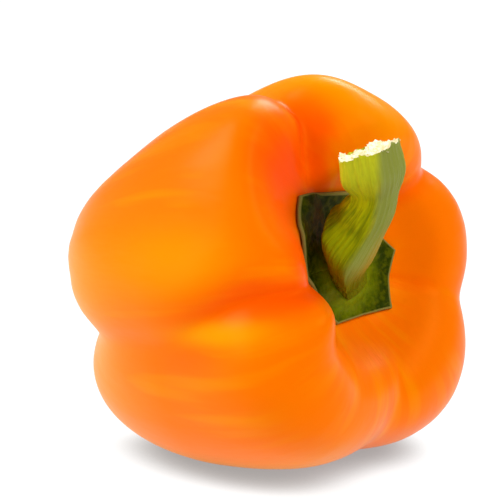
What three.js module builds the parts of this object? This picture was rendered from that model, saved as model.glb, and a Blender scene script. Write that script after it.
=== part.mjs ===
// Bell pepper lying on its side: a five-lobed fruit, the calyx in its cavity and the cut stem.
// Millimetres, +Z up. The pepper is shaped in its own frame and then laid on the surface.
// In that frame z runs along the axis towards the stem, and x (right) and y (up) are as seen
// from the stem end. Angles are in degrees, from x towards y.

import * as THREE from 'three';

// How the pepper lies
const TURN = 50;
const RISE = 10;
const SETTLE = 0.45;

// Clearance between pieces that touch
const GAP = 0.3;

// Outline over a lobe from the cavity floor round to the blossom end, as the control points
// of a curve: distance from the axis and height along it.
const CREST = [
  [0, 18], [8, 18.2], [14.5, 20], [19, 25], [23, 30.5], [29.5, 33], [37, 29.5], [42, 20],
  [43.5, 6], [41.5, -9], [37, -24], [30, -37], [20, -44], [9.5, -43], [0, -37],
];

// The same outline along the bottom of a furrow, point beside point
const FURROW = [
  [0, 18], [8, 18], [14.2, 19], [18.5, 22.2], [22, 25], [26.5, 25.5], [31, 22], [34.5, 14],
  [36, 3], [34.5, -10], [31, -22], [24.5, -31], [16, -36], [8, -37], [0, -36],
];

// Places on the outline, counted in its points, of the cavity's edge, the shoulder, the side and
// the blossom end
const STATIONS = [3, 6, 8.5, 13];

// Furrows between the lobes. Angles, depths and widths hold at the four stations, the widths in
// degrees; round softens the bottom of the crease.
const FURROWS = [
  { angles: [113, 95, 91, 89], depths: [1.1, 1.2, 1.13, 0.9], widths: [12, 9, 10, 12], round: 0.5 },
  { angles: [36, 33, 28, 30], depths: [0.8, 0.68, 0.61, 0.85], widths: [12, 12, 11, 11], round: 0.35 },
  { angles: [-24, -21, -24, -27], depths: [0.68, 0.4, 0.33, 0.8], widths: [13, 13, 12, 12], round: 0.35 },
  { angles: [-72, -88, -88, -93], depths: [0.6, 0.37, 0.5, 0.7], widths: [9, 9, 11, 11], round: 0.35 },
  { angles: [-118, -120, -120, -120], depths: [0.5, 0, 0, 0], widths: [9, 9, 9, 9], round: 0.5 },
  { angles: [182, 181, 196, 206], depths: [1.15, 1.06, 1.06, 1], widths: [10, 14, 22, 22], round: 0.22 },
  { angles: [168, 168, 168, 172], depths: [0.1, 0.1, 0.08, 0.15], widths: [8, 8, 8, 8], round: 0.8 },
];

// Lobes that are fuller or leaner than the outline. Angles and girths hold at the shoulder and
// the blossom end; lift raises the shoulder and reach lengthens the blossom end, in millimetres.
const LOBES = [
  { angles: [90, 80], girths: [0.184, -0.22], lift: -0.9, reach: -2.9, spread: 15 },
  { angles: [10, 4], girths: [0.045, 0.033], lift: -1, reach: 0, spread: 28 },
  { angles: [-50, -55], girths: [0.125, 0.11], lift: 0, reach: 0, spread: 26 },
  { angles: [-130, -125], girths: [0.04, 0.153], lift: 2.8, reach: 2.3, spread: 24 },
  { angles: [155, 138], girths: [-0.074, -0.147], lift: 0, reach: 1, spread: 25 },
  { angles: [112, 112], girths: [0.076, -0.162], lift: 0.5, reach: 0, spread: 16 },
];

// Noses: round knobs that stand up where a lobe ends beside the cavity, or dips where the height
// is below 0, by their angle and place on the outline, height in millimetres, spread in degrees
// and length in outline points
const NOSES = [
  { angle: 168, place: 4.8, height: 1.5, spread: 12, length: 1.5 },
  { angle: 193, place: 4, height: 7.3, spread: 19, length: 1.6 },
  { angle: 118, place: 5.3, height: -9, spread: 20, length: 1.35 },
  { angle: 142, place: 4.4, height: -6, spread: 15, length: 1.35 },
];

// The stem cavity stands off the middle of the body by this much, across the axis
const BODY_SHIFT = [-3.5, -1.3];

// Calyx: its pointed corners across the axis, its thickness and the boss that the stem grows from
const CALYX_CORNERS = [
  [15.4, 0], [3, 15.4], [-12.5, 16.4], [-16.4, 11], [-14.4, -1.5], [-5.8, -12.6], [10.8, -12.4],
];
const CALYX_THICK = 1.7;
const CALYX_RIM = 0.8;
const BOSS_HEIGHT = 21.2;
const BOSS_RADIUS = [5.2, 9];

// Stem: its path, the half width and the turn of one ridge at each point of the path, how far
// its flat sides lie inside a round stem, and the facing and roughness of the torn top
const STEM_PATH = [
  [-0.5, -1.9, BOSS_HEIGHT + GAP], [-5.1, 0.8, 25], [-7.8, 6.2, 28.5], [-6.2, 10.8, 32],
  [-6.2, 15.8, 36], [-8.5, 20.6, 38], [-9.9, 25.6, 39],
];
const STEM_HALF_WIDTHS = [4.9, 5.8, 7.4, 5.9, 5.2, 7.3, 7.0];
const STEM_RIDGES = 5;
const RIDGE_TURNS = [-105, -108, -122, -120, -131, -125, -120];
const RIDGE_FLATNESS = 0.55;
const TORN_FACING = [-0.16, 0.98, -0.11];
const TORN_DEPTH = 0.8;

// Fineness of the faceted surfaces
const FRUIT_COLUMNS = 96;
const FRUIT_ROWS = 50;
const CALYX_ROWS = 7;
const STEM_SIDES = 30;
const STEM_RINGS = 24;
const TORN_RINGS = [1, 0.8, 0.5, 0.25];

const FRUIT_MATERIAL = { color: 0xf86c02, roughness: 0.22, metalness: 0 };
const CALYX_MATERIAL = { color: 0x36420c, roughness: 0.55, metalness: 0 };
const STEM_MATERIAL = { color: 0x8a9020, roughness: 0.6, metalness: 0 };

const radians = THREE.MathUtils.degToRad;
const smooth = THREE.MathUtils.smoothstep;
const mix = THREE.MathUtils.lerp;

// Point of a uniform cubic B-spline at a place between 0 and the number of points less 1. The
// outline is mirrored about the axis at both ends, so that it crosses the axis level.
function outlinePoint(points, place) {
  const last = points.length - 1;
  const at = Math.min(Math.max(place, 0), last - 1e-9);
  const step = Math.floor(at);
  const f = at - step;
  const weights = [
    (1 - f) ** 3 / 6,
    (3 * f ** 3 - 6 * f ** 2 + 4) / 6,
    (-3 * f ** 3 + 3 * f ** 2 + 3 * f + 1) / 6,
    f ** 3 / 6,
  ];
  const sum = [0, 0];
  weights.forEach((weight, k) => {
    const index = step - 1 + k;
    const mirrored = index < 0 ? -index : index > last ? 2 * last - index : index;
    const side = index < 0 || index > last ? -1 : 1;
    sum[0] += weight * side * points[mirrored][0];
    sum[1] += weight * points[mirrored][1];
  });
  return sum;
}

// Difference of two angles in radians, between -pi and pi
function turnBetween(a, b) {
  return Math.atan2(Math.sin(a - b), Math.cos(a - b));
}

// Value at a place, from its values at the four stations
function betweenStations(values, place) {
  let value = values[0];
  for (let k = 1; k < STATIONS.length; k += 1) {
    value += (values[k] - values[k - 1]) * smooth(place, STATIONS[k - 1], STATIONS[k]);
  }
  return value;
}

// How far down the furrows the skin lies at an angle and a place: 0 on a crest, 1 in a furrow
function furrowDepth(angle, place) {
  let depth = 0;
  for (const furrow of FURROWS) {
    const middle = radians(betweenStations(furrow.angles, place));
    const width = radians(betweenStations(furrow.widths, place));
    const off = turnBetween(angle, middle) / width;
    const share = Math.exp(furrow.round - Math.hypot(off, furrow.round));
    depth += betweenStations(furrow.depths, place) * share;
  }
  return depth;
}

// Extra girth, as a share, and extra height of the lobes and noses at an angle and a place
function lobeGrowth(angle, place) {
  const end = smooth(place, 6, 12);
  const shoulder = smooth(place, 2.5, 5) * (1 - smooth(place, 6, 9));
  const tip = smooth(place, 9, 11.5) * (1 - smooth(place, 12.3, 14));
  let girth = 0;
  let height = 0;
  for (const lobe of LOBES) {
    const middle = radians(mix(lobe.angles[0], lobe.angles[1], end));
    const share = Math.exp(-((turnBetween(angle, middle) / radians(lobe.spread)) ** 2));
    girth += share * mix(lobe.girths[0], lobe.girths[1], end);
    height += share * (lobe.lift * shoulder - lobe.reach * tip);
  }
  for (const nose of NOSES) {
    const across = turnBetween(angle, radians(nose.angle)) / radians(nose.spread);
    const along = (place - nose.place) / nose.length;
    height += nose.height * Math.exp(-(across ** 2) - along ** 2);
  }
  return { girth, height };
}

// Point of the fruit's skin in the pepper's own frame
function skinPoint(angle, place) {
  const body = smooth(place, 2.5, 7);
  const crest = outlinePoint(CREST, place);
  const furrow = outlinePoint(FURROW, place);
  const depth = furrowDepth(angle, place);
  const growth = lobeGrowth(angle, place);
  const radius = mix(crest[0], furrow[0], depth) * (1 + growth.girth * body);
  const height = mix(crest[1], furrow[1], depth) + growth.height;
  return new THREE.Vector3(
    radius * Math.cos(angle) + BODY_SHIFT[0] * body,
    radius * Math.sin(angle) + BODY_SHIFT[1] * body,
    height,
  );
}

// Outward normal of the skin, from its neighbours on either side
function skinNormal(angle, place) {
  const step = 0.02;
  const along = skinPoint(angle, place + step).sub(skinPoint(angle, place - step));
  const around = skinPoint(angle + step, place).sub(skinPoint(angle - step, place));
  return along.cross(around).normalize();
}

// Closed surface through a first point, rings of points and a last point. The rings run
// anticlockwise as seen from the first point's side.
function closedSurface(first, rings, last) {
  const sides = rings[0].length;
  const points = [first, ...rings.flat(), last];
  const ringStart = (ring) => 1 + ring * sides;
  const faces = [];
  for (let k = 0; k < sides; k += 1) {
    const next = (k + 1) % sides;
    faces.push(0, ringStart(0) + k, ringStart(0) + next);
    for (let ring = 0; ring < rings.length - 1; ring += 1) {
      const near = ringStart(ring);
      const far = ringStart(ring + 1);
      faces.push(near + k, far + k, far + next);
      faces.push(near + k, far + next, near + next);
    }
    const end = ringStart(rings.length - 1);
    faces.push(end + k, points.length - 1, end + next);
  }
  const geometry = new THREE.BufferGeometry().setFromPoints(points);
  geometry.setIndex(faces);
  return geometry;
}

const columnAngles = Array.from(
  { length: FRUIT_COLUMNS },
  (_, k) => (2 * Math.PI * k) / FRUIT_COLUMNS,
);

// The whole skin of the fruit, from the cavity floor to the blossom end
function fruitGeometry() {
  const last = CREST.length - 1;
  const rings = [];
  for (let row = 1; row < FRUIT_ROWS; row += 1) {
    const place = (last * row) / FRUIT_ROWS;
    rings.push(columnAngles.map((angle) => skinPoint(angle, place)));
  }
  return closedSurface(skinPoint(0, 0), rings, skinPoint(0, last));
}

// Distance from the axis to the calyx's edge at an angle: straight edges between its corners
function calyxReach(angle) {
  const across = new THREE.Vector2(Math.cos(angle), Math.sin(angle));
  for (let k = 0; k < CALYX_CORNERS.length; k += 1) {
    const a = new THREE.Vector2(...CALYX_CORNERS[k]);
    const b = new THREE.Vector2(...CALYX_CORNERS[(k + 1) % CALYX_CORNERS.length]);
    if (across.cross(a) <= 0 && across.cross(b) > 0 && across.dot(a.clone().add(b)) > 0) {
      return a.cross(b) / across.cross(b.clone().sub(a));
    }
  }
  throw new Error('the calyx corners must run round the axis anticlockwise');
}

// Place on the outline at which the skin is as far from the axis as the calyx reaches
function calyxEdgePlace(angle) {
  const reach = calyxReach(angle);
  let near = 0;
  let far = 5;
  for (let k = 0; k < 40; k += 1) {
    const middle = (near + far) / 2;
    const point = skinPoint(angle, middle);
    if (Math.hypot(point.x, point.y) < reach) near = middle;
    else far = middle;
  }
  return near;
}

// Top of the calyx above a point of its underside: thick in the middle, thin at the rim, with
// low ribs running out to the rim and a level boss where the stem grows
function calyxTop(under, normal, angle, share) {
  const ribs = 0.12 * Math.sin(9 * angle) * share * (1 - share) * 4;
  const thick = mix(CALYX_THICK, CALYX_RIM, share ** 2) + ribs;
  const top = under.clone().addScaledVector(normal, thick);
  const stemFoot = STEM_PATH[0];
  const off = Math.hypot(top.x - stemFoot[0], top.y - stemFoot[1]);
  const boss = 1 - smooth(off, ...BOSS_RADIUS);
  top.z = Math.min(mix(top.z, BOSS_HEIGHT, boss), Math.max(BOSS_HEIGHT, off * 2));
  return top;
}

// The calyx: a thin cup that follows the cavity's skin at the clearance
function calyxGeometry() {
  const edges = columnAngles.map(calyxEdgePlace);
  const under = [];
  const over = [];
  for (let row = 1; row <= CALYX_ROWS; row += 1) {
    const share = row / CALYX_ROWS;
    const low = [];
    const high = [];
    columnAngles.forEach((angle, k) => {
      const place = edges[k] * share;
      const normal = skinNormal(angle, place);
      const point = skinPoint(angle, place).addScaledVector(normal, GAP);
      low.push(point);
      high.push(calyxTop(point, normal, angle, share));
    });
    under.push(low);
    over.push(high);
  }
  const axis = new THREE.Vector3(0, 0, 1);
  const bottom = skinPoint(0, 0).addScaledVector(axis, GAP);
  const top = calyxTop(bottom, axis, 0, 0);
  return closedSurface(top, [...over, ...under.reverse()], bottom);
}

// Value along the stem, from its value at each point of the path
function alongStem(values, share) {
  const at = Math.min(share * (values.length - 1), values.length - 1 - 1e-9);
  const step = Math.floor(at);
  return mix(values[step], values[step + 1], smooth(at - step, 0, 1));
}

// Distance of the stem's skin from its path at a turn about the path: between a circle and a
// regular polygon with a corner on each ridge, wider at the foot
function stemRadius(turn, share) {
  const sector = (2 * Math.PI) / STEM_RIDGES;
  const fromRidge = turn - radians(alongStem(RIDGE_TURNS, share));
  const fromFlat = fromRidge - sector * (Math.floor(fromRidge / sector) + 0.5);
  const polygon = Math.cos(sector / 2) / Math.cos(fromFlat);
  const flare = 1.1 * (1 - smooth(share, 0, 0.07));
  return (alongStem(STEM_HALF_WIDTHS, share) + flare) * mix(1, polygon, RIDGE_FLATNESS);
}

// Roughness of the torn top at a turn about the path and a share of the way out
function tornHeight(turn, out) {
  return TORN_DEPTH * (Math.sin(7 * turn + 5 * out) * Math.sin(3 * turn) * out - 0.5 * (1 - out));
}

// Points of the stem round its path. The rings turn evenly from the axis at the foot to the
// facing of the torn top.
function stemRing(path, share, out, torn) {
  const centre = path.getPoint(share);
  const facing = new THREE.Vector3(0, 0, 1)
    .lerp(new THREE.Vector3(...TORN_FACING), smooth(share, 0, 1))
    .normalize();
  const right = new THREE.Vector3(1, 0, 0).addScaledVector(facing, -facing.x).normalize();
  const up = facing.clone().cross(right);
  return Array.from({ length: STEM_SIDES }, (_, k) => {
    const turn = (2 * Math.PI * k) / STEM_SIDES;
    const radius = stemRadius(turn, share) * out;
    return centre.clone()
      .addScaledVector(right, radius * Math.cos(turn))
      .addScaledVector(up, radius * Math.sin(turn))
      .addScaledVector(facing, torn ? tornHeight(turn, out) : 0);
  });
}

// The stem: rings along its path and a torn top
function stemGeometry() {
  const path = new THREE.CatmullRomCurve3(STEM_PATH.map((point) => new THREE.Vector3(...point)));
  const rings = [];
  for (let ring = 0; ring < STEM_RINGS; ring += 1) {
    rings.push(stemRing(path, ring / STEM_RINGS, 1, false));
  }
  for (const out of TORN_RINGS) rings.push(stemRing(path, 1, out, true));
  return closedSurface(path.getPoint(1), rings.reverse(), path.getPoint(0));
}

// Directions of the pepper's own frame once it lies on the surface
function lieMatrix() {
  const turn = radians(TURN);
  const rise = radians(RISE);
  const right = new THREE.Vector3(Math.cos(turn), Math.sin(turn), 0);
  const axis = new THREE.Vector3(
    Math.sin(turn) * Math.cos(rise),
    -Math.cos(turn) * Math.cos(rise),
    Math.sin(rise),
  );
  return new THREE.Matrix4().makeBasis(right, axis.clone().cross(right), axis);
}

// Lays the pieces on the surface, centred on it, with the skin pressed level where it rests
function layDown(geometries) {
  const lie = lieMatrix();
  const box = new THREE.Box3();
  for (const geometry of geometries) {
    geometry.applyMatrix4(lie);
    geometry.computeBoundingBox();
    box.union(geometry.boundingBox);
  }
  const middle = box.getCenter(new THREE.Vector3());
  for (const geometry of geometries) {
    geometry.translate(-middle.x, -middle.y, -box.min.z - SETTLE);
    const positions = geometry.getAttribute('position');
    for (let k = 0; k < positions.count; k += 1) {
      positions.setZ(k, Math.max(0, positions.getZ(k)));
    }
  }
}

function namedPiece(name, geometry, finish) {
  geometry.computeVertexNormals();
  const mesh = new THREE.Mesh(geometry, new THREE.MeshStandardMaterial(finish));
  mesh.name = name;
  return mesh;
}

const fruit = fruitGeometry();
const calyx = calyxGeometry();
const stem = stemGeometry();
layDown([fruit, calyx, stem]);

const pepper = new THREE.Group();
pepper.add(
  namedPiece('fruit', fruit, FRUIT_MATERIAL),
  namedPiece('calyx', calyx, CALYX_MATERIAL),
  namedPiece('stem', stem, STEM_MATERIAL),
);

export default pepper;
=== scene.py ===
"""Bell pepper lying on its side: the skin, the calyx and the torn stem, with their finishes.

The pepper is shaped in its own frame, in millimetres, by the rules that shape its solids: z runs
along the axis towards the stem, x (right) and y (up) are as seen from the stem end, and angles
are in degrees from x towards y. It is then laid on the surface in the frame's metres.
"""

from __future__ import annotations

import logging
import math
from dataclasses import dataclass
from enum import Enum
from functools import partial, reduce
from typing import Optional, Sequence

import bpy
import numpy as np
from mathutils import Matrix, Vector

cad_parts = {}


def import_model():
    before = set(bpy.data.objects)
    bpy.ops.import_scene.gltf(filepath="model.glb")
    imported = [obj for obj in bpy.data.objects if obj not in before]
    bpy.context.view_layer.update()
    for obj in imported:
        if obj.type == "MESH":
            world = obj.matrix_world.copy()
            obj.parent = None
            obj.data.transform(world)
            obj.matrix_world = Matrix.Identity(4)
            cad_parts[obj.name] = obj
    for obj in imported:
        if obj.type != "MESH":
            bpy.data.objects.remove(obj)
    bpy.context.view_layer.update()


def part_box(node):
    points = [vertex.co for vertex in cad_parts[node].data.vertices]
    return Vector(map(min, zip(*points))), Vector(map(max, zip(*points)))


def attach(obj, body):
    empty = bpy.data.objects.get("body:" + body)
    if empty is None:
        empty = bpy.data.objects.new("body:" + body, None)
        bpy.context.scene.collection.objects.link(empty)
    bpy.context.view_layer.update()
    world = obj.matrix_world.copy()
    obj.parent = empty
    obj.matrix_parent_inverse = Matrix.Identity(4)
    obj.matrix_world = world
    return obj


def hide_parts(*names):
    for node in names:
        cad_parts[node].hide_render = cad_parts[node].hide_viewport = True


MM = 0.001
LOG = logging.getLogger("bell_pepper")

Array = np.ndarray
Socket = bpy.types.NodeSocket
Colour = tuple[float, float, float]
Four = tuple[float, float, float, float]

STATIONS = (3.0, 6.0, 8.5, 13.0)
AXIS = np.array([0.0, 0.0, 1.0])


class Node(Enum):
    """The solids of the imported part, by node name."""

    FRUIT = "fruit"
    CALYX = "calyx"
    STEM = "stem"


class Slot(Enum):
    """The record's material slots."""

    FRUIT = "fruit_skin"
    CALYX = "calyx_green"
    STEM = "stem_green"


def smooth(low: float, high: float, value: Array) -> Array:
    """Ease from 0 at low to 1 at high.

    Args:
        low: Value at which the step starts.
        high: Value at which the step ends.
        value: Places to evaluate.

    Returns:
        The eased share at each place.
    """
    share = np.clip((np.asarray(value, float) - low) / (high - low), 0, 1)
    return share * share * (3 - 2 * share)


def mix(a: Array, b: Array, share: Array) -> Array:
    """Straight blend from a to b."""
    return a + (b - a) * share


def turn_between(a: Array, b: Array) -> Array:
    """Difference of two angles in radians, between -pi and pi."""
    return np.arctan2(np.sin(a - b), np.cos(a - b))


def unit(vectors: Array) -> Array:
    """Vectors at length 1."""
    return vectors / np.maximum(np.linalg.norm(vectors, axis=-1, keepdims=True), 1e-12)


def ended(rows: Array, first: float = 0.0, last: float = 0.0) -> Array:
    """Values of all rings in a row, between those of the points at either end."""
    return np.concatenate([[first], rows.ravel(), [last]])


def grained(turns: Array, lengths: Array, first: float, last: float) -> Array:
    """Grain of a piece: texture places that run round it without a seam and along it."""
    rows = np.stack([np.cos(turns), np.sin(turns), lengths], axis=-1).reshape(-1, 3)
    return np.vstack([[0, 0, first], rows, [0, 0, last]])


def full_turn(count: int) -> Array:
    """Evenly spread angles of a full turn, in radians."""
    return np.arange(count) * 2 * math.pi / count


def direction(turn: float, rise: float) -> Array:
    """Turn a direction away from -Y and raise it above level.

    Args:
        turn: Degrees from -Y towards +X.
        rise: Degrees above level.

    Returns:
        The direction, at length 1.
    """
    turn, rise = math.radians(turn), math.radians(rise)
    level = math.cos(rise)
    return np.array([math.sin(turn) * level, -math.cos(turn) * level, math.sin(rise)])


def put_in_scene(name: str, data: bpy.types.ID) -> bpy.types.Object:
    """Make an object and link it to the scene.

    Args:
        name: Name of the object.
        data: Its mesh, light or camera.

    Returns:
        The object.
    """
    thing = bpy.data.objects.new(name, data)
    bpy.context.scene.collection.objects.link(thing)
    return thing


@dataclass(frozen=True)
class Outline:
    """Half outline of the fruit: control points of a curve, as radius and height in mm."""

    points: tuple[tuple[float, float], ...]

    @property
    def last(self) -> int:
        """Place of the blossom end."""
        return len(self.points) - 1

    def at(self, place: Array) -> Array:
        """Evaluate the uniform cubic B-spline, mirrored about the axis at both ends.

        Args:
            place: Places between 0 and the number of points less 1.

        Returns:
            Radius and height at each place, as the last axis.
        """
        points = np.array(self.points, float)
        before = [[-points[1, 0], points[1, 1]]]
        after = [[-points[-2, 0], points[-2, 1]]]
        padded = np.vstack([before, points, after])
        place = np.clip(place, 0, self.last - 1e-9)
        step = np.floor(place).astype(int)
        f = (place - step)[..., None]
        return (
            padded[step] * (1 - f) ** 3 / 6
            + padded[step + 1] * (3 * f**3 - 6 * f**2 + 4) / 6
            + padded[step + 2] * (-3 * f**3 + 3 * f**2 + 3 * f + 1) / 6
            + padded[np.minimum(step + 3, self.last + 2)] * f**3 / 6
        )


@dataclass(frozen=True)
class Furrow:
    """A crease between two lobes, given at the cavity's edge, shoulder, side and blossom end."""

    angles: Four
    depths: Four
    widths: Four
    round: float

    @staticmethod
    def between(values: Four, place: Array) -> Array:
        """Ease from station to station.

        Args:
            values: Value at each of the four stations.
            place: Places along the outline.

        Returns:
            Value at each place.
        """
        value = np.full(np.shape(place), float(values[0]))
        for k in range(1, len(STATIONS)):
            share = smooth(STATIONS[k - 1], STATIONS[k], place)
            value = value + (values[k] - values[k - 1]) * share
        return value

    def depth(self, angle: Array, place: Array) -> Array:
        """How far the crease sinks the skin.

        Args:
            angle: Angles in radians.
            place: Places along the outline.

        Returns:
            Depth at each angle and place: 0 on a crest, 1 at the bottom of a full furrow.
        """
        middle = np.radians(self.between(self.angles, place))
        width = np.radians(self.between(self.widths, place))
        off = turn_between(angle, middle) / width
        share = np.exp(self.round - np.hypot(off, self.round))
        return self.between(self.depths, place) * share


@dataclass(frozen=True)
class Lobe:
    """Where a lobe is fuller or leaner than the outline."""

    angles: tuple[float, float]
    girths: tuple[float, float]
    lift: float
    reach: float
    spread: float


@dataclass(frozen=True)
class Spot:
    """A soft-edged spot on the skin: an amount that fades round an angle and a place."""

    angle: float
    place: float
    amount: float
    spread: float
    length: float

    def at(self, angle: Array, place: Array) -> Array:
        """Evaluate the spot.

        Args:
            angle: Angles in radians.
            place: Places along the outline.

        Returns:
            Amount at each angle and place.
        """
        across = turn_between(angle, math.radians(self.angle)) / math.radians(self.spread)
        along = (place - self.place) / self.length
        return self.amount * np.exp(-(across**2) - along**2)


@dataclass(frozen=True)
class Lie:
    """How the pepper lies on the surface."""

    turn: float = 50.0
    rise: float = 10.0
    settle: float = 0.45
    offset: tuple[float, float, float] = (0.0, 0.0, 0.0)

    def axes(self) -> Array:
        """Turn the pepper's own axes into the world.

        Returns:
            Directions of x, y and z, as rows.
        """
        turn = math.radians(self.turn)
        right = np.array([math.cos(turn), math.sin(turn), 0.0])
        axis = direction(self.turn, self.rise)
        return np.array([right, np.cross(axis, right), axis])

    def place(self, points: Array) -> Array:
        """Points of the pepper's own frame, in mm, as metres in the world."""
        return (points @ self.axes() + np.array(self.offset)) * MM

    def settled(self, skin: Array, low: Vector, high: Vector) -> Lie:
        """The same lie, moved so that the skin fits the solid's box.

        Args:
            skin: Points of the whole skin in the pepper's own frame.
            low: Lowest corner of the fruit's solid, in metres.
            high: Highest corner of the fruit's solid, in metres.

        Returns:
            The lie with its offset in mm.
        """
        points = (skin @ self.axes()).reshape(-1, 3)
        middle = (points.min(0) + points.max(0)) / 2
        target = np.array(low + high) / 2 / MM
        sink = -points[:, 2].min() - self.settle
        offset = (target[0] - middle[0], target[1] - middle[1], sink)
        return Lie(self.turn, self.rise, self.settle, offset)


def closed_mesh(
    name: str, rings: Array, first: Array, last: Array, values: dict[str, Array]
) -> bpy.types.Object:
    """Build a closed skin from rings of points and a point at either end.

    Args:
        name: Name of the object and its mesh.
        rings: Points in metres, ring by ring, anticlockwise as seen from the first point's side.
        first: Point that closes the first ring.
        last: Point that closes the last ring.
        values: Attributes by name, one row for each point with the ends first and last.

    Returns:
        The smooth-shaded object, at the origin.
    """
    count, sides = rings.shape[:2]
    points = np.vstack([first[None], rings.reshape(-1, 3), last[None]])
    here = np.arange(sides)
    after = (here + 1) % sides
    faces: list[tuple[int, ...]] = [(0, 1 + a, 1 + b) for a, b in zip(here, after)]
    for ring in range(count - 1):
        near, far = 1 + ring * sides, 1 + (ring + 1) * sides
        faces += [
            (near + a, far + a, far + b, near + b)
            for a, b in zip(here.tolist(), after.tolist())
        ]
    end = 1 + (count - 1) * sides
    faces += [(end + a, len(points) - 1, end + b) for a, b in zip(here, after)]
    mesh = bpy.data.meshes.new(name)
    mesh.from_pydata(points.tolist(), [], [tuple(int(k) for k in face) for face in faces])
    for key, rows in values.items():
        vector = rows.ndim == 2
        kind = "FLOAT_VECTOR" if vector else "FLOAT"
        layer = mesh.attributes.new(key, kind, "POINT")
        layer.data.foreach_set("vector" if vector else "value", rows.astype(np.float32).ravel())
    mesh.shade_smooth()
    mesh.validate()
    return put_in_scene(name, mesh)


class Graph:
    """A node tree under construction, with short calls for the nodes that the finishes share."""

    def __init__(self, tree: bpy.types.NodeTree) -> None:
        """Start from an empty tree."""
        self.tree = tree
        tree.nodes.clear()

    def add(self, kind: str, inputs: Optional[dict] = None, **settings) -> bpy.types.Node:
        """Add a node.

        Args:
            kind: The node's type name.
            inputs: Values or sockets by input name or index.
            **settings: Properties of the node.

        Returns:
            The new node.
        """
        node = self.tree.nodes.new(kind)
        for key, value in settings.items():
            setattr(node, key, value)
        self.fill(node, inputs or {})
        return node

    def fill(self, node: bpy.types.Node, inputs: dict) -> None:
        """Feed several inputs of a node, by name or index."""
        for key, value in inputs.items():
            self.feed(node.inputs[key], value)

    def feed(self, socket: Socket, value: object) -> None:
        """Link a socket to an input, or set the input's own value.

        Args:
            socket: The input.
            value: A socket or a plain value.
        """
        if isinstance(value, Socket):
            self.tree.links.new(value, socket)
        else:
            socket.default_value = value

    def math(self, operation: str, *values: object) -> Socket:
        """Result of a Math node on the given values or sockets."""
        return self.add("ShaderNodeMath", dict(enumerate(values)), operation=operation).outputs[0]

    def product(self, *values: object) -> Socket:
        """All the values or sockets, multiplied in turn."""
        return reduce(partial(self.math, "MULTIPLY"), values)

    def stretched(self, grain: Socket, factor: float) -> Socket:
        """The grain with its lengthwise part times a factor: a small one draws patterns out."""
        inputs = {0: grain, 1: (1.0, 1.0, factor)}
        return self.add("ShaderNodeVectorMath", inputs, operation="MULTIPLY").outputs["Vector"]

    def ramp(
        self, value: Socket, low: float, high: float, start: float = 0.0, end: float = 1.0
    ) -> Socket:
        """Smooth map of a value's range.

        Args:
            value: The number to map.
            low: Value that gives start.
            high: Value that gives end.
            start: Result at and below low.
            end: Result at and above high.

        Returns:
            The mapped number.
        """
        inputs = dict(enumerate((value, low, high, start, end)))
        return self.add("ShaderNodeMapRange", inputs, interpolation_type="SMOOTHSTEP").outputs[0]

    def noise(
        self, vector: Socket, scale: float, detail: float = 2.0, rough: float = 0.5
    ) -> Socket:
        """Value of a noise texture, about 0.5 on average."""
        inputs = {"Vector": vector, "Scale": scale, "Detail": detail, "Roughness": rough}
        return self.add("ShaderNodeTexNoise", inputs).outputs[0]

    def colour(self, share: Socket, a: object, b: object) -> Socket:
        """Blend two colours.

        Args:
            share: Share of the second colour.
            a: First colour, or a socket that gives it.
            b: Second colour, or a socket that gives it.

        Returns:
            The blended colour.
        """
        ends = [(*end, 1.0) if isinstance(end, tuple) else end for end in (a, b)]
        inputs = dict(zip((0, 6, 7), (share, *ends)))
        return self.add("ShaderNodeMix", inputs, data_type="RGBA").outputs[2]

    def attribute(self, name: str, vector: bool = False) -> Socket:
        """A mesh attribute, as a number or a vector."""
        node = self.add("ShaderNodeAttribute", attribute_name=name)
        return node.outputs["Vector" if vector else "Fac"]

    def bump(self, height: Socket, strength: float, depth: float) -> Socket:
        """Normal bent by a height.

        Args:
            height: Height of the relief, from 0 to 1.
            strength: Share of the relief that shows.
            depth: Height of the full relief in metres.

        Returns:
            The bent normal.
        """
        inputs = {"Strength": strength, "Distance": depth, "Height": height}
        return self.add("ShaderNodeBump", inputs).outputs[0]


@dataclass(frozen=True)
class Gloss:
    """How a surface shines: its roughness, and the level, index and tint of its reflection."""

    roughness: float
    level: float = 0.5
    index: float = 1.5
    tint: Colour = (1.0, 1.0, 1.0)

    def inputs(self) -> dict:
        """Describe the shine to a Principled shader.

        Returns:
            Values by input name.
        """
        return {
            "Roughness": self.roughness,
            "Specular IOR Level": self.level,
            "IOR": self.index,
            "Specular Tint": (*self.tint, 1.0),
        }


def shader_graph(name: str, gloss: Gloss) -> tuple[bpy.types.Material, Graph, bpy.types.Node]:
    """Start a material with a Principled shader.

    Args:
        name: Name of the material.
        gloss: How the surface shines.

    Returns:
        The material, its graph and its shader node.
    """
    material = bpy.data.materials.new(name)
    material.use_nodes = True
    graph = Graph(material.node_tree)
    shader = graph.add("ShaderNodeBsdfPrincipled", gloss.inputs())
    graph.add("ShaderNodeOutputMaterial", {"Surface": shader.outputs[0]})
    return material, graph, shader


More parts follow.
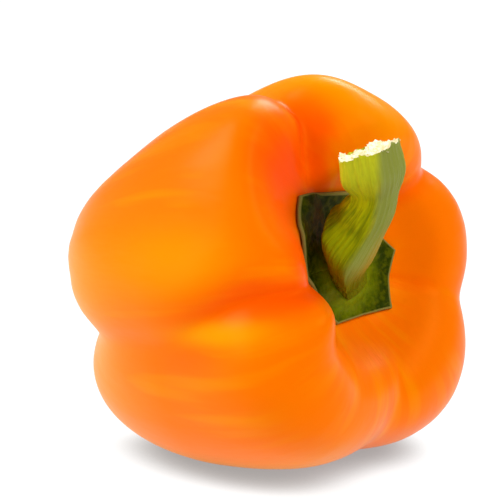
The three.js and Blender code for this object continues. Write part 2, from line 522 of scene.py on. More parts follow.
@dataclass(frozen=True)
class SkinFinish:
    """Waxy orange skin: deep orange, yellower streaks along the lobes, painted shade that makes the
    furrows and some spots redder, and painted highlights that make other spots yellower.
    """

    orange: Colour = (1.0, 0.175, 0.0)
    pale: Colour = (1.0, 0.30, 0.0)
    # Colour of the painted shade in the furrows and the redder spots
    deep: Colour = (1.0, 0.065, 0.0)
    gloss: Gloss = Gloss(0.34, 0.6, 1.22, (1.0, 0.42, 0.0))
    streakiness: float = 0.5
    # Where the painted furrow shade starts, and how strong it is on the shoulder and along the side
    crease_start: float = 0.45
    shoulder: float = 6.0
    side: float = 9.0
    shoulder_painted_shade: float = 0.65
    side_painted_shade: float = 0.2
    glow: float = 0.08
    glow_colour: Colour = (1.0, 0.35, 0.05)
    glow_depth: float = 3 * MM
    pores: float = 0.35
    pore_depth: float = 0.25 * MM

    def material(self) -> bpy.types.Material:
        """Build the skin's material.

        Returns:
            The material.
        """
        material, graph, shader = shader_graph("waxy_orange_skin", self.gloss)
        grain = graph.attribute("grain", vector=True)
        painted_light_tone = graph.attribute("painted_light_tone")
        # Share of painted highlight and reflected light, where the spots' amount is below 0
        yellow = graph.ramp(painted_light_tone, 0.0, -1.0)
        # Pale colour from the real streaks or from the painted highlights, whichever is more
        bright = graph.math("MAXIMUM", self.streaks(graph, grain), yellow)
        colour = graph.colour(bright, self.orange, self.pale)
        # Painted shade: the furrows and the redder spots, and none where a spot paints a highlight
        painted_shade = graph.math("MAXIMUM", self.painted_crease_shade(graph, grain), graph.ramp(painted_light_tone, 0.0, 1.0))
        painted_shade = graph.product(painted_shade, graph.math("SUBTRACT", 1.0, yellow))
        fine = graph.noise(graph.stretched(grain, 0.12), 16.0)
        graph.fill(shader, {
            "Base Color": graph.colour(painted_shade, colour, self.deep),
            "Subsurface Weight": self.glow,
            "Subsurface Radius": self.glow_colour,
            "Subsurface Scale": self.glow_depth,
            "Normal": graph.bump(fine, self.pores, self.pore_depth),
        })
        return material

    def streaks(self, graph: Graph, grain: Socket) -> Socket:
        """Draw yellower streaks: fine lines along the lobes, in broad drifts.

        Args:
            graph: The material's graph.
            grain: The grain of the skin.

        Returns:
            Share of the pale colour.
        """
        line = graph.noise(graph.stretched(grain, 0.035), 9.0)
        drift = graph.noise(graph.stretched(grain, 0.25), 1.5, 1.0)
        lines, drifts = graph.ramp(line, 0.42, 0.66), graph.ramp(drift, 0.38, 0.60)
        return graph.product(lines, drifts, self.streakiness)

    def painted_crease_shade(self, graph: Graph, grain: Socket) -> Socket:
        """Paint reddish shade into the furrows, more on the shoulder than along the side.

        Args:
            graph: The material's graph.
            grain: The grain of the skin.

        Returns:
            Share of the deep colour, which is painted shade.
        """
        place = graph.add("ShaderNodeSeparateXYZ", {0: grain}).outputs[2]
        painted_shade_amount = graph.ramp(
            place, self.shoulder, self.side, self.shoulder_painted_shade, self.side_painted_shade
        )
        return graph.product(graph.ramp(graph.attribute("crease"), self.crease_start, 1.0), painted_shade_amount)


@dataclass(frozen=True)
class CalyxFinish:
    """Leathery dark green, brighter round the stem's foot, with a thin pale rim."""

    dark: Colour = (0.018, 0.030, 0.0)
    olive: Colour = (0.070, 0.080, 0.0)
    fresh: Colour = (0.16, 0.20, 0.0)
    rim: Colour = (0.26, 0.22, 0.05)
    rim_strength: float = 0.85
    gloss: Gloss = Gloss(0.42, 0.18, 1.3, (0.8, 1.0, 0.2))
    wrinkles: float = 0.6
    wrinkle_depth: float = 0.5 * MM

    def material(self) -> bpy.types.Material:
        """Build the calyx's material.

        Returns:
            The material.
        """
        material, graph, shader = shader_graph("leathery_calyx_green", self.gloss)
        spot = graph.add("ShaderNodeTexCoord").outputs["Object"]
        mottle = graph.noise(spot, 620.0, 3.0, 0.6)
        colour = graph.colour(graph.ramp(mottle, 0.38, 0.66), self.dark, self.olive)
        foot = graph.product(graph.attribute("foot"), graph.ramp(mottle, 0.2, 0.6, 0.6))
        colour = graph.colour(foot, colour, self.fresh)
        edge = graph.ramp(graph.attribute("edge"), 0.955, 0.985, 0.0, self.rim_strength)
        graph.fill(shader, {
            "Base Color": graph.colour(edge, colour, self.rim),
            "Normal": graph.bump(mottle, self.wrinkles, self.wrinkle_depth),
        })
        return material


@dataclass(frozen=True)
class StemFinish:
    """Ridged yellow-green stalk, with painted shade at the foot, painted light at the top, and a
    painted sheen that makes its right flank greyer.

    The lengthwise part of the stalk's grain runs from 0 at the foot to 6 at the top.
    """

    yellow: Colour = (0.38, 0.39, 0.0)
    green: Colour = (0.155, 0.19, 0.0)
    # Colour of the painted sheen on the right flank
    painted_flank_sheen: Colour = (0.23, 0.25, 0.04)
    # Colour of the painted light at the top
    bright: Colour = (0.56, 0.55, 0.02)
    # Colour of the painted shade at the foot
    shady: Colour = (0.10, 0.115, 0.0)
    brown: Colour = (0.40, 0.22, 0.01)
    middle: float = 3.6
    painted_light_share: float = 0.65
    painted_shade_share: float = 0.85
    gloss: Gloss = Gloss(0.5, 0.22, 1.3, (1.0, 1.0, 0.3))
    grooves: float = 0.7
    groove_depth: float = 0.5 * MM

    def material(self) -> bpy.types.Material:
        """Build the stalk's material.

        Returns:
            The material.
        """
        material, graph, shader = shader_graph("ridged_stem_green", self.gloss)
        grain = graph.attribute("grain", vector=True)
        streak = graph.noise(graph.stretched(grain, 0.10), 9.0, 3.0, 0.6)
        patch = graph.noise(grain, 1.6)
        share = graph.math("ADD", graph.product(streak, 0.7), graph.product(patch, 0.5))
        height = graph.add("ShaderNodeSeparateXYZ", {0: grain}).outputs[2]
        # Painted light towards the top and painted shade towards the foot
        top = graph.ramp(height, self.middle, 5.6, 0.0, self.painted_light_share)
        foot = graph.ramp(height, self.middle, 0.8, 0.0, self.painted_shade_share)
        colour = graph.colour(graph.ramp(share, 0.42, 0.74), self.green, self.yellow)
        layers = (
            (top, self.bright),
            (foot, self.shady),
            (graph.attribute("painted_flank_sheen"), self.painted_flank_sheen),
            (graph.attribute("brown"), self.brown),
        )
        for shown, layer in layers:
            colour = graph.colour(shown, colour, layer)
        normal = graph.bump(streak, self.grooves, self.groove_depth)
        graph.fill(shader, {"Base Color": colour, "Normal": normal})
        return material


@dataclass(frozen=True)
class TornFinish:
    """Pale fibrous flesh of the torn top."""

    cream: Colour = (0.80, 0.69, 0.34)
    white: Colour = (0.97, 0.93, 0.70)
    gloss: Gloss = Gloss(0.7)
    shreds: float = 0.8
    shred_depth: float = 0.6 * MM

    def material(self) -> bpy.types.Material:
        """Build the torn flesh's material.

        Returns:
            The material.
        """
        material, graph, shader = shader_graph("torn_stem_cream", self.gloss)
        spot = graph.add("ShaderNodeTexCoord").outputs["Object"]
        flesh = graph.noise(spot, 900.0, 3.0, 0.6)
        colour = graph.colour(graph.ramp(flesh, 0.38, 0.62), self.cream, self.white)
        normal = graph.bump(flesh, self.shreds, self.shred_depth)
        graph.fill(shader, {"Base Color": colour, "Normal": normal})
        return material


class ReliefTree:
    """Geometry Nodes tree that gives a piece its low relief and its finishes."""

    def __init__(self, name: str, sizes: dict[str, float]) -> None:
        """Make the tree with a geometry socket and a named input for each size.

        Args:
            name: Name of the tree.
            sizes: Named inputs and their values.
        """
        self.tree = bpy.data.node_groups.new(name, "GeometryNodeTree")
        self.sizes = sizes
        face = self.tree.interface
        face.new_socket("Geometry", in_out="INPUT", socket_type="NodeSocketGeometry")
        face.new_socket("Geometry", in_out="OUTPUT", socket_type="NodeSocketGeometry")
        for key in sizes:
            face.new_socket(key, in_out="INPUT", socket_type="NodeSocketFloat")
        self.graph = Graph(self.tree)
        self.entry = self.graph.add("NodeGroupInput")
        self.exit = self.graph.add("NodeGroupOutput")

    def named(self, key: str, kind: str = "FLOAT") -> Socket:
        """A named attribute of the mesh."""
        node = self.graph.add("GeometryNodeInputNamedAttribute", {"Name": key}, data_type=kind)
        return node.outputs["Attribute"]

    def uneven(self, noise: Socket, size: str, middle: float = 0.5) -> Socket:
        """Height above and below the middle of a noise, times a named size."""
        off = self.graph.math("SUBTRACT", noise, middle)
        return self.graph.product(off, self.entry.outputs[size])

    def relief(self, geometry: Socket, height: Socket) -> Socket:
        """Move every point along its normal, and none below the surface that it rests on.

        Args:
            geometry: The mesh.
            height: Distance to move each point, in metres.

        Returns:
            The moved mesh.
        """
        graph = self.graph
        normal = graph.add("GeometryNodeInputNormal").outputs[0]
        inputs = {0: normal, "Scale": height}
        step = graph.add("ShaderNodeVectorMath", inputs, operation="SCALE").outputs["Vector"]
        moved = graph.add("GeometryNodeSetPosition", {"Geometry": geometry, "Offset": step})
        spot = graph.add("GeometryNodeInputPosition").outputs[0]
        parts = graph.add("ShaderNodeSeparateXYZ", {0: spot})
        level = graph.math("MAXIMUM", parts.outputs[2], 0.0)
        inputs = {"X": parts.outputs[0], "Y": parts.outputs[1], "Z": level}
        rested = graph.add("ShaderNodeCombineXYZ", inputs)
        inputs = {"Geometry": moved.outputs[0], "Position": rested.outputs[0]}
        return graph.add("GeometryNodeSetPosition", inputs).outputs[0]

    def apply(
        self,
        piece: bpy.types.Object,
        result: Socket,
        finishes: Sequence[tuple[bpy.types.Material, Optional[Socket]]],
    ) -> None:
        """Run the tree on a piece and keep the result as its plain mesh.

        Args:
            piece: The object to run the tree on.
            result: The geometry before its instances are made real.
            finishes: Materials, each with the faces that it goes on, or None for all faces.
        """
        real = self.graph.add("GeometryNodeRealizeInstances", {"Geometry": result})
        dressed = real.outputs[0]
        for material, faces in finishes:
            inputs = {"Geometry": dressed, "Material": material}
            if faces is not None:
                inputs["Selection"] = faces
            dressed = self.graph.add("GeometryNodeSetMaterial", inputs).outputs[0]
        self.graph.feed(self.exit.inputs["Geometry"], dressed)
        modifier = piece.modifiers.new(self.tree.name, "NODES")
        modifier.node_group = self.tree
        for item in self.tree.interface.items_tree:
            if item.item_type == "SOCKET" and item.name in self.sizes:
                modifier[item.identifier] = self.sizes[item.name]
        evaluated = piece.evaluated_get(bpy.context.evaluated_depsgraph_get())
        mesh = bpy.data.meshes.new_from_object(evaluated)
        piece.modifiers.remove(modifier)
        old, piece.data = piece.data, mesh
        mesh.name = piece.name
        bpy.data.meshes.remove(old)


@dataclass
class Fruit:
    """The fruit's skin, from the cavity floor round to the blossom end."""

    crest: Outline = Outline((
        (0, 18), (8, 18.2), (14.5, 20), (19, 25), (23, 30.5), (29.5, 33), (37, 29.5), (42, 20),
        (43.5, 6), (41.5, -9), (37, -24), (30, -37), (20, -44), (9.5, -43), (0, -37),
    ))
    furrow_line: Outline = Outline((
        (0, 18), (8, 18), (14.2, 19), (18.5, 22.2), (22, 25), (26.5, 25.5), (31, 22),
        (34.5, 14), (36, 3), (34.5, -10), (31, -22), (24.5, -31), (16, -36), (8, -37), (0, -36),
    ))
    furrows: tuple[Furrow, ...] = (
        Furrow((113, 95, 91, 89), (1.1, 1.2, 1.13, 0.9), (12, 9, 10, 12), 0.5),
        Furrow((36, 33, 28, 30), (0.8, 0.68, 0.61, 0.85), (12, 12, 11, 11), 0.35),
        Furrow((-24, -21, -24, -27), (0.68, 0.4, 0.33, 0.8), (13, 13, 12, 12), 0.35),
        Furrow((-72, -88, -88, -93), (0.5, 0.3, 0.45, 0.7), (11, 12, 13, 11), 0.35),
        Furrow((-118, -120, -120, -120), (0.42, 0, 0, 0), (11, 9, 9, 9), 0.5),
        Furrow((182, 181, 196, 206), (1.15, 1.06, 1.06, 1), (10, 14, 22, 22), 0.22),
        Furrow((168, 168, 168, 172), (0.1, 0.1, 0.08, 0.15), (8, 8, 8, 8), 0.8),
    )
    lobes: tuple[Lobe, ...] = (
        Lobe((90, 80), (0.184, -0.22), -0.9, -2.9, 15),
        Lobe((10, 4), (0.045, 0.033), -1, 0, 28),
        Lobe((-50, -55), (0.125, 0.11), 0, 0, 26),
        Lobe((-130, -125), (0.04, 0.153), 2.8, 2.3, 24),
        Lobe((155, 138), (-0.074, -0.147), 0, 1, 25),
        Lobe((112, 112), (0.076, -0.162), 0.5, 0, 16),
    )
    # Knobs where a lobe ends beside the cavity, or dips where the amount is below 0, in mm
    noses: tuple[Spot, ...] = (
        Spot(168, 4.8, 1.5, 12, 1.5),
        Spot(193, 4, 7.3, 19, 1.6),
        Spot(118, 5.2, -7.8, 22, 1.6),
        Spot(140, 4.4, -5.4, 18, 1.5),
    )
    # Painted shade that makes the skin redder, or painted highlights and light that make it
    # yellower where the amount is below 0
    painted_light_patches: tuple[Spot, ...] = (
        Spot(120, 4.8, 0.85, 26, 1.8),
        Spot(166, 4.2, 0.6, 20, 1.1),
        Spot(190, 11.8, -0.9, 70, 2.5),
        Spot(-112, 8.6, -0.8, 14, 3.0),
        Spot(191, 6.9, -0.9, 5, 1.3),
        Spot(165, 7.6, -0.6, 14, 1.6),
        Spot(74, 7.0, -1.0, 24, 3.0),
    )
    body_shift: tuple[float, float] = (-3.5, -1.3)
    columns: int = 360
    rows: int = 250
    ripple: float = 0.16 * MM
    swell: float = 0.35 * MM
    finish: SkinFinish = SkinFinish()

    def furrow_depth(self, angle: Array, place: Array) -> Array:
        """How far down the furrows the skin lies: 0 on a crest, 1 in a furrow."""
        return sum(furrow.depth(angle, place) for furrow in self.furrows)

    def lobe_growth(self, angle: Array, place: Array) -> tuple[Array, Array]:
        """Extra girth, as a share, and extra height of the lobes.

        Args:
            angle: Angles in radians.
            place: Places along the outline.

        Returns:
            Girth and height at each angle and place.
        """
        end = smooth(6, 12, place)
        shoulder = smooth(2.5, 5, place) * (1 - smooth(6, 9, place))
        tip = smooth(9, 11.5, place) * (1 - smooth(12.3, 14, place))
        girth = np.zeros(np.broadcast(angle, place).shape)
        height = girth.copy()
        for lobe in self.lobes:
            middle = np.radians(mix(*lobe.angles, end))
            off = turn_between(angle, middle) / math.radians(lobe.spread)
            share = np.exp(-(off**2))
            girth += share * mix(*lobe.girths, end)
            height += share * (lobe.lift * shoulder - lobe.reach * tip)
        height += sum(nose.at(angle, place) for nose in self.noses)
        return girth, height

    def skin(self, angle: Array, place: Array) -> Array:
        """Points of the skin in the pepper's own frame, in mm.

        Args:
            angle: Angles in radians.
            place: Places along the outline.

        Returns:
            Points, with x, y and z as the last axis.
        """
        angle, place = np.broadcast_arrays(angle, place)
        body = smooth(2.5, 7, place)
        crest = self.crest.at(place)
        sunk = self.furrow_line.at(place)
        depth = self.furrow_depth(angle, place)
        girth, height = self.lobe_growth(angle, place)
        radius = mix(crest[..., 0], sunk[..., 0], depth) * (1 + girth * body)
        return np.stack([
            radius * np.cos(angle) + self.body_shift[0] * body,
            radius * np.sin(angle) + self.body_shift[1] * body,
            mix(crest[..., 1], sunk[..., 1], depth) + height,
        ], axis=-1)

    def normal(self, angle: Array, place: Array) -> Array:
        """Outward normals of the skin in the pepper's own frame.

        Args:
            angle: Angles in radians.
            place: Places along the outline.

        Returns:
            Normals at length 1.
        """
        step = 0.02
        along = self.skin(angle, place + step) - self.skin(angle, place - step)
        around = self.skin(angle + step, place) - self.skin(angle - step, place)
        return unit(np.cross(along, around))

    def grid(self) -> tuple[Array, Array]:
        """Angles and places of the skin's points, without its two ends."""
        places = np.arange(1, self.rows) * self.crest.last / self.rows
        return np.meshgrid(full_turn(self.columns), places)

    def build(self, lie: Lie) -> bpy.types.Object:
        """Build the skin with its relief.

        Args:
            lie: How the pepper lies.

        Returns:
            The fruit's object.
        """
        angles, places = self.grid()
        rings = lie.place(self.skin(angles, places))
        ends = [lie.place(self.skin(np.array(0.0), np.array(p))) for p in (0.0, self.crest.last)]
        values = {
            "grain": grained(angles, places, 0, self.crest.last),
            "crease": ended(self.furrow_depth(angles, places)),
            "fade": ended(self.relief_share(places)),
            # Painted light and shade on the skin, spot by spot
            "painted_light_tone": ended(sum(patch.at(angles, places) for patch in self.painted_light_patches)),
        }
        piece = closed_mesh("fruit_skin", rings, ends[0], ends[1], values)
        self.add_relief(piece)
        return piece

    @staticmethod
    def relief_share(places: Array) -> Array:
        """How much of the low relief shows: none at the two ends and under the calyx."""
        return smooth(3.6, 5.5, places) * (1 - smooth(12.2, 13.6, places))

    def add_relief(self, piece: bpy.types.Object) -> None:
        """Give the skin its lengthwise ripples and its broad uneven swelling.

        Args:
            piece: The fruit's object.
        """
        tree = ReliefTree("skin_relief", {"Ripple": self.ripple, "Swell": self.swell})
        graph = tree.graph
        grain = tree.named("grain", "FLOAT_VECTOR")
        ripple = graph.noise(graph.stretched(grain, 0.06), 5.0)
        swell = graph.noise(graph.stretched(grain, 0.25), 1.4, 0.0)
        rise = graph.math("ADD", tree.uneven(ripple, "Ripple"), tree.uneven(swell, "Swell"))
        height = graph.product(rise, tree.named("fade"), 2.0)
        skin = tree.relief(tree.entry.outputs["Geometry"], height)
        tree.apply(piece, skin, [(self.finish.material(), None)])


@dataclass
class Calyx:
    """The thin angular cup in the cavity, with the boss that the stem grows from."""

    fruit: Fruit
    corners: tuple[tuple[float, float], ...] = (
        (15.4, 0), (3, 15.4), (-13.6, 17.6), (-17.2, 11.4), (-14.4, -1.5), (-5.8, -12.6),
        (10.8, -12.4),
    )
    gap: float = 0.3
    ribs: int = 9
    rib_height: float = 0.12
    thick: float = 1.7
    rim: float = 0.8
    boss_height: float = 21.2
    boss_radius: tuple[float, float] = (5.2, 9.0)
    foot: tuple[float, float] = (-0.5, -1.9)
    columns: int = 360
    rows: int = 44
    bumps: float = 0.7 * MM
    finish: CalyxFinish = CalyxFinish()

    def reach(self, angles: Array) -> Array:
        """Measure from the axis to the straight edges between the corners.

        Args:
            angles: Angles in radians.

        Returns:
            Distance at each angle.
        """
        across = np.stack([np.cos(angles), np.sin(angles)], axis=-1)
        reach = np.full(angles.shape, np.inf)
        for a, b in zip(self.corners, self.corners[1:] + self.corners[:1]):
            a, b = np.array(a, float), np.array(b, float)
            edge = b - a
            outward = np.array([edge[1], -edge[0]]) / np.linalg.norm(edge)
            along = across @ outward
            hit = np.where(along > 1e-6, (a @ outward) / np.maximum(along, 1e-6), np.inf)
            reach = np.minimum(reach, hit)
        return reach

    def edge_place(self, angles: Array) -> Array:
        """Find where the skin is as far from the axis as the calyx reaches.

        Args:
            angles: Angles in radians.

        Returns:
            Place along the outline at each angle.
        """
        reach = self.reach(angles)
        near = np.zeros(angles.shape)
        far = np.full(angles.shape, 5.0)
        for _ in range(40):
            middle = (near + far) / 2
            inside = np.hypot(*np.moveaxis(self.fruit.skin(angles, middle)[..., :2], -1, 0)) < reach
            near = np.where(inside, middle, near)
            far = np.where(inside, far, middle)
        return near

    def top(self, under: Array, normal: Array, angle: Array, share: Array) -> Array:
        """Upper side of the calyx above its underside.

        Args:
            under: Points of the underside.
            normal: Normals there.
            angle: Angles in radians.
            share: Shares of the way out to the rim.

        Returns:
            Points of the upper side.
        """
        ribs = self.rib_height * np.sin(self.ribs * angle) * share * (1 - share) * 4
        thick = mix(self.thick, self.rim, share**2) + ribs
        top = under + normal * thick[..., None]
        off = np.hypot(top[..., 0] - self.foot[0], top[..., 1] - self.foot[1])
        boss = 1 - smooth(*self.boss_radius, off)
        ceiling = np.maximum(self.boss_height, off * 2)
        top[..., 2] = np.minimum(mix(top[..., 2], self.boss_height, boss), ceiling)
        return top

    def build(self, lie: Lie) -> bpy.types.Object:
        """Build the calyx with its relief.

        Args:
            lie: How the pepper lies.

        Returns:
            The calyx's object.
        """
        angles = full_turn(self.columns)
        shares = np.arange(1, self.rows + 1) / self.rows
        angle, share = np.meshgrid(angles, shares)
        place = self.edge_place(angles)[None] * share
        normal = self.fruit.normal(angle, place)
        under = self.fruit.skin(angle, place) + normal * self.gap
        over = self.top(under.copy(), normal, angle, share)
        zero = np.array(0.0)
        bottom = self.fruit.skin(zero, zero) + AXIS * self.gap
        peak = self.top(bottom.copy(), AXIS, zero, zero)
        rings = np.concatenate([over, under[::-1]])
        values = self.values(rings, share, peak, bottom)
        skin, first, last = (lie.place(points) for points in (rings, peak, bottom))
        piece = closed_mesh("calyx_cup", skin, first, last, values)
        self.add_relief(piece)
        return piece

    def values(self, rings: Array, share: Array, peak: Array, bottom: Array) -> dict[str, Array]:
        """Attributes of the calyx's points.

        Args:
            rings: Points of both sides in the pepper's own frame.
            share: Shares of the way out, for one side.
            peak: Middle of the upper side.
            bottom: Middle of the underside.

        Returns:
            Share of the way out, nearness to the stem's foot and share of the relief.
        """
        points = np.vstack([peak[None], rings.reshape(-1, 3), bottom[None]])
        off = np.hypot(points[:, 0] - self.foot[0], points[:, 1] - self.foot[1])
        edge = ended(np.concatenate([share, share[::-1]]))
        upper = ended(np.repeat([1.0, 0.0], share.size), first=1.0)
        relief = upper * smooth(1.0, 0.9, edge) * smooth(4.0, 7.5, off)
        return {"edge": edge, "foot": 1 - smooth(6.0, 12.5, off), "relief": relief}

    def add_relief(self, piece: bpy.types.Object) -> None:
        """Give the upper side its uneven bumps.

        Args:
            piece: The calyx's object.
        """
        tree = ReliefTree("calyx_relief", {"Bumps": self.bumps})
        graph = tree.graph
        spot = graph.add("GeometryNodeInputPosition").outputs[0]
        bumps = tree.uneven(graph.noise(spot, 380.0, 2.0, 0.6), "Bumps", 0.42)
        height = graph.product(bumps, tree.named("relief"))
        cup = tree.relief(tree.entry.outputs["Geometry"], height)
        tree.apply(piece, cup, [(self.finish.material(), None)])


@dataclass
class Stem:
    """The ridged stalk with its knee and its torn top."""

    path: tuple[tuple[float, float, float], ...] = (
        (-0.5, -1.9, 21.5), (-5.1, 0.8, 25), (-7.8, 6.2, 28.5), (-6.2, 10.8, 32), (-6.2, 15.8, 36),
        (-8.5, 20.6, 38), (-9.9, 25.6, 39),
    )
    half_widths: tuple[float, ...] = (4.9, 5.8, 7.4, 5.9, 5.2, 7.3, 7.0)
    ridges: int = 5
    ridge_turns: tuple[float, ...] = (-105, -108, -122, -120, -131, -125, -120)
    flatness: float = 0.55
    torn_facing: tuple[float, float, float] = (-0.16, 0.98, -0.11)
    torn_depth: float = 0.8
    sides: int = 240
    rings: int = 170
    torn_rings: int = 26
    # Where the painted sheen on the right flank fades, round the stalk and up it
    sheen_edge: tuple[float, float] = (0.5, 0.85)
    sheen_start: tuple[float, float] = (0.18, 0.4)
    brown_turn: float = 1.1
    brown_height: float = 0.36
    brown_spread: tuple[float, float] = (0.5, 0.14)
    brownness: float = 0.7
    striae: float = 0.45 * MM
    fibre: float = 0.34 * MM
    fibre_girth: float = 0.42
    fibre_tilt: float = 0.7
    fibre_scales: tuple[float, float] = (0.5, 1.8)
    fibre_density: float = 0.9e6
    fibre_seed: int = 7
    finish: StemFinish = StemFinish()
    torn_finish: TornFinish = TornFinish()

    def centre(self, share: Array) -> Array:
        """Points of the centripetal Catmull-Rom curve through the path.

        Args:
            share: Shares of the way from the foot to the top.

        Returns:
            Points in the pepper's own frame.
        """
        path = np.array(self.path, float)
        path = np.vstack([2 * path[0] - path[1], path, 2 * path[-1] - path[-2]])
        at = np.clip(share, 0, 1 - 1e-9) * (len(self.path) - 1)
        step = np.floor(at).astype(int)
        f = (at - step)[..., None]
        p = [path[step + k] for k in range(4)]
        steps = [p[k + 1] - p[k] for k in range(3)]
        gaps = [np.maximum(np.linalg.norm(s, axis=-1) ** 0.5, 1e-4)[..., None] for s in steps]

        def slope(k: int) -> Array:
            """Slope of the curve at the second or third of the four points."""
            across = (p[k + 1] - p[k - 1]) / (gaps[k - 1] + gaps[k])
            return (steps[k - 1] / gaps[k - 1] - across + steps[k] / gaps[k]) * gaps[1]

        near, far = slope(1), slope(2)
        return (
            p[1]
            + near * f
            + (-3 * p[1] + 3 * p[2] - 2 * near - far) * f**2
            + (2 * p[1] - 2 * p[2] + near + far) * f**3
        )

    def along(self, values: Sequence[float], share: Array) -> Array:
        """Ease a value from point to point of the path.

        Args:
            values: Value at each point.
            share: Shares of the way up.

        Returns:
            Value at each share.
        """
        numbers = np.array(values, float)
        at = np.clip(share, 0, 1 - 1e-9) * (len(numbers) - 1)
        step = np.floor(at).astype(int)
        return mix(numbers[step], numbers[step + 1], smooth(0, 1, at - step))

    def radius(self, turn: Array, share: Array) -> Array:
        """Distance of the stalk's skin from its path: between a circle and a ridged polygon.

        Args:
            turn: Turns about the path in radians.
            share: Shares of the way up.

        Returns:
            Distance at each turn and share.
        """
        sector = 2 * math.pi / self.ridges
        from_ridge = turn - np.radians(self.along(self.ridge_turns, share))
        from_flat = from_ridge - sector * (np.floor(from_ridge / sector) + 0.5)
        polygon = math.cos(sector / 2) / np.cos(from_flat)
        flare = 1.1 * (1 - smooth(0, 0.07, share))
        return (self.along(self.half_widths, share) + flare) * mix(1, polygon, self.flatness)

    def torn_height(self, turn: Array, out: Array) -> Array:
        """Roughness of the torn top.

        Args:
            turn: Turns about the path in radians.
            out: Shares of the way out from the path.

        Returns:
            Height in mm.
        """
        tear = np.sin(7 * turn + 5 * out) * np.sin(3 * turn) * out - 0.5 * (1 - out)
        shreds = 0.35 * np.sin(23 * turn) * np.sin(11 * turn + 2) * smooth(0.6, 1, out)
        return self.torn_depth * (tear + shreds)

    def ring(self, turn: Array, share: Array, out: Array, torn: Array) -> Array:
        """Points of the stalk round its path.

        Args:
            turn: Turns about the path in radians.
            share: Shares of the way up.
            out: Shares of the way out from the path.
            torn: 1 on the torn top and 0 elsewhere.

        Returns:
            Points in the pepper's own frame.
        """
        facing = unit(mix(AXIS, np.array(self.torn_facing), smooth(0, 1, share)[..., None]))
        right = unit(np.array([1.0, 0.0, 0.0]) - facing[..., :1] * facing)
        up = np.cross(facing, right)
        radius = (self.radius(turn, share) * out)[..., None]
        lift = (self.torn_height(turn, out) * torn)[..., None]
        across = right * np.cos(turn)[..., None] + up * np.sin(turn)[..., None]
        return self.centre(share) + across * radius + facing * lift

    def build(self, lie: Lie) -> bpy.types.Object:
        """Build the stalk with its lengthwise striae and torn fibres.

        Args:
            lie: How the pepper lies.

        Returns:
            The stem's object.
        """
        shares = np.concatenate([np.linspace(0, 1, self.rings), np.ones(self.torn_rings)])
        outs = np.concatenate([np.ones(self.rings), np.linspace(1, 0.03, self.torn_rings)])
        torn = np.concatenate([np.zeros(self.rings), np.ones(self.torn_rings)])
        turn, share = np.meshgrid(full_turn(self.sides), shares)
        out = np.broadcast_to(outs[:, None], turn.shape)
        top = np.broadcast_to(torn[:, None], turn.shape)
        points = self.ring(turn, share, out, top)[::-1]
        turn, share, top = turn[::-1], share[::-1], top[::-1]
        peak = self.centre(np.array(1.0)) - np.array(self.torn_facing) * self.torn_depth * 0.5
        foot = self.centre(np.array(0.0))
        values = self.values(turn, share, top)
        skin, first, last = (lie.place(spots) for spots in (points, peak, foot))
        piece = closed_mesh("stem_stalk", skin, first, last, values)
        self.add_relief(piece)
        return piece

    def values(self, turn: Array, share: Array, top: Array) -> dict[str, Array]:
        """Attributes of the stalk's points.

        Args:
            turn: Turns about the path in radians.
            share: Shares of the way up.
            top: 1 on the torn top and 0 elsewhere.

        Returns:
            Grain, the painted sheen that makes the right flank greyer, brown tint and torn share.
        """
        ridge = np.radians(self.along(self.ridge_turns, share))
        # Painted sheen on the right flank, beside a ridge
        beyond = turn_between(turn, ridge + math.pi / self.ridges)
        painted_flank_sheen = 1 - smooth(*self.sheen_edge, np.abs(beyond))
        across = turn_between(turn, ridge + self.brown_turn) / self.brown_spread[0]
        up = (share - self.brown_height) / self.brown_spread[1]
        brown = np.exp(-(across**2)) * np.exp(-(up**2)) * self.brownness
        last = len(self.path) - 1
        return {
            "grain": grained(turn, share * last, last, 0),
            "painted_flank_sheen": ended(painted_flank_sheen * smooth(*self.sheen_start, share)),
            "brown": ended(brown),
            "torn": ended(top, first=1.0),
        }

    def add_relief(self, piece: bpy.types.Object) -> None:
        """Give the stalk its striae, and set fibres round the torn top.

        Args:
            piece: The stem's object.
        """
        sizes = {"Striae": self.striae, "Fibre": self.fibre}
        tree = ReliefTree("stem_relief", sizes)
        graph = tree.graph
        grain = tree.named("grain", "FLOAT_VECTOR")
        striae = graph.noise(graph.stretched(grain, 0.07), 7.0, 3.0, 0.6)
        whole = graph.math("SUBTRACT", 1.0, tree.named("torn"))
        height = graph.product(tree.uneven(striae, "Striae"), whole, 2.0)
        stalk = tree.relief(tree.entry.outputs["Geometry"], height)
        fibres = self.fibres(tree, stalk)
        joined = graph.add("GeometryNodeJoinGeometry")
        graph.feed(joined.inputs[0], stalk)
        graph.feed(joined.inputs[0], fibres)
        torn = graph.math("GREATER_THAN", tree.named("torn"), 0.75)
        finishes = [(self.finish.material(), None), (self.torn_finish.material(), torn)]
        tree.apply(piece, joined.outputs[0], finishes)

